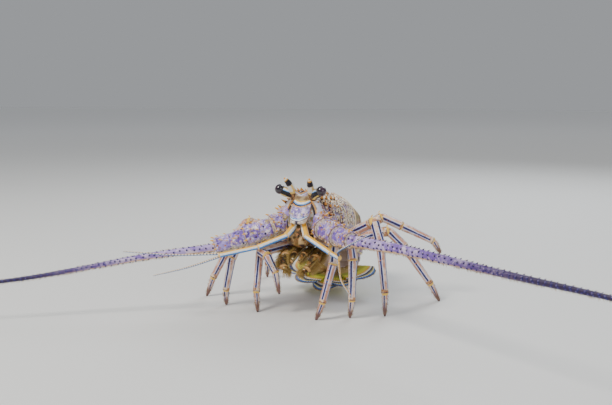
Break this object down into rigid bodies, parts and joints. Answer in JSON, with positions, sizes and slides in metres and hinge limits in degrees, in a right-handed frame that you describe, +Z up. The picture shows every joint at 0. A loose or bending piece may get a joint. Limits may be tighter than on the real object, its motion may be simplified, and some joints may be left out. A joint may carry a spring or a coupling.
{
  "type": "spiny lobster",
  "caption": "Life-size still model of a spiny lobster standing on its walking legs, tail curled under, antennae spread to the sides.",
  "frame": {"origin": "on the floor, under the middle of the part's box", "axes": "+X to the animal's left, -Y the way the head points, +Z up"},
  "size_m": [0.7736, 0.3981, 0.1449],
  "materials": {
    "shell": "hard shell, tan and cream with olive and brown blotches, semi-gloss",
    "antenna_shell": "lilac shell with brown and cream spots, semi-gloss",
    "antenna_whip": "purple horn, finely ringed, semi-gloss",
    "antennule": "pale shell with blue stripes",
    "leg": "pale pink shell with dark blue stripes, semi-gloss",
    "mouth": "brown and olive mouth parts with bristles",
    "eye": "black, glossy",
    "tail_fan": "yellow-green, ribbed, with blue and white bands at the edge"
  },
  "bodies": {
    "root": {"carapace_head": "shell", "carapace_thorax": "shell", "front_plate": "antenna_shell", "mouth": "mouth", "eye_left": "eye", "eye_right": "eye", "telson": "tail_fan", "antenna_left_base_1": "antenna_shell", "antenna_left_base_2": "antenna_shell", "antenna_left_base_3": "antenna_shell", "antenna_left_whip_1": "antenna_whip", "antenna_left_whip_2": "antenna_whip", "antennule_left_stalk": "antennule", "antennule_left_upper_feeler": "antennule", "antennule_left_lower_feeler": "antennule", "maxilliped_left": "mouth", "maxilliped_left_inner": "mouth", "leg_left_1_upper": "leg", "leg_left_1_lower": "leg", "leg_left_2_upper": "leg", "leg_left_2_lower": "leg", "leg_left_3_upper": "leg", "leg_left_3_lower": "leg", "leg_left_4_upper": "leg", "leg_left_4_lower": "leg", "leg_left_5_upper": "leg", "leg_left_5_lower": "leg", "uropod_left_inner": "tail_fan", "uropod_left_outer": "tail_fan", "antenna_right_base_1": "antenna_shell", "antenna_right_base_2": "antenna_shell", "antenna_right_base_3": "antenna_shell", "antenna_right_whip_1": "antenna_whip", "antenna_right_whip_2": "antenna_whip", "antennule_right_stalk": "antennule", "antennule_right_upper_feeler": "antennule", "antennule_right_lower_feeler": "antennule", "maxilliped_right": "mouth", "maxilliped_right_inner": "mouth", "leg_right_1_upper": "leg", "leg_right_1_lower": "leg", "leg_right_2_upper": "leg", "leg_right_2_lower": "leg", "leg_right_3_upper": "leg", "leg_right_3_lower": "leg", "leg_right_4_upper": "leg", "leg_right_4_lower": "leg", "leg_right_5_upper": "leg", "leg_right_5_lower": "leg", "uropod_right_inner": "tail_fan", "uropod_right_outer": "tail_fan", "abdomen_1": "shell", "abdomen_2": "shell", "abdomen_3": "shell", "abdomen_4": "shell", "abdomen_5": "shell", "abdomen_6": "shell"}
  },
  "joints": []
}
